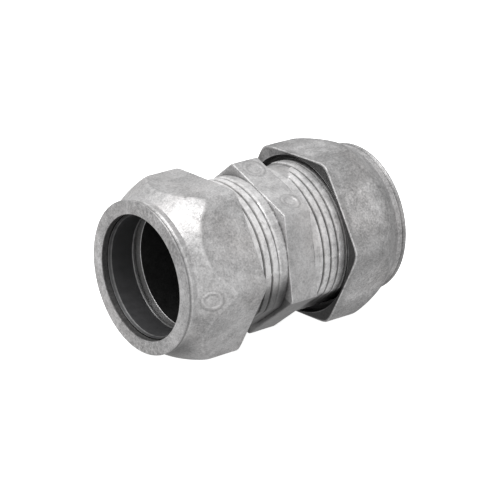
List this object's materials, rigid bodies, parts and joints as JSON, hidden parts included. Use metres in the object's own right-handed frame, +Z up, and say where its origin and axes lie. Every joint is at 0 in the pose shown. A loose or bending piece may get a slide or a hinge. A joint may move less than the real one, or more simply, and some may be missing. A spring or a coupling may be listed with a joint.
{
  "type": "conduit compression coupling",
  "caption": "Conduit compression coupling: a hexagon-waisted body threaded at each end, with flared hexagon nuts that squeeze split rings on to the conduit.",
  "frame": {"origin": "on the bore's axis, midway through the body's hexagon", "axes": "+X along the bore, towards the right nut; +Z up, square to the left nut's top flat; +Y completes the right-handed frame"},
  "size_m": [0.0539, 0.0368, 0.0338],
  "materials": {
    "body_zinc": "as-cast zinc alloy, matt light grey",
    "nut_zinc": "as-cast zinc alloy, matt mottled grey",
    "ring_steel": "smooth plated steel"
  },
  "bodies": {
    "coupling_body": {"coupling_body": "body_zinc"},
    "left_ring": {"left_compression_ring": "ring_steel"},
    "left_nut": {"left_compression_nut": "nut_zinc"},
    "right_ring": {"right_compression_ring": "ring_steel"},
    "right_nut": {"right_compression_nut": "nut_zinc"}
  },
  "joints": [
    {"name": "left_ring_slide", "type": "slide", "parent": "coupling_body", "child": "left_ring", "axis": [1, 0, 0], "range_m": [-0.0046, 0.00095]},
    {"name": "left_nut_turn", "type": "hinge", "parent": "left_ring", "child": "left_nut", "pos_m": [-0.01941, 0, 0], "axis": [1, 0, 0], "range_deg": [-900, 180]},
    {"name": "right_ring_slide", "type": "slide", "parent": "coupling_body", "child": "right_ring", "axis": [-1, 0, 0], "range_m": [-0.0055, 0.00035]},
    {"name": "right_nut_turn", "type": "hinge", "parent": "right_ring", "child": "right_nut", "pos_m": [0.01868, 0, 0], "axis": [-1, 0, 0], "range_deg": [-1080, 60]}
  ],
  "couplings": [
    {"joint": "left_ring_slide", "follows": "left_nut_turn", "m_per_rad": 0.00028871},
    {"joint": "right_ring_slide", "follows": "right_nut_turn", "m_per_rad": 0.00028871}
  ]
}
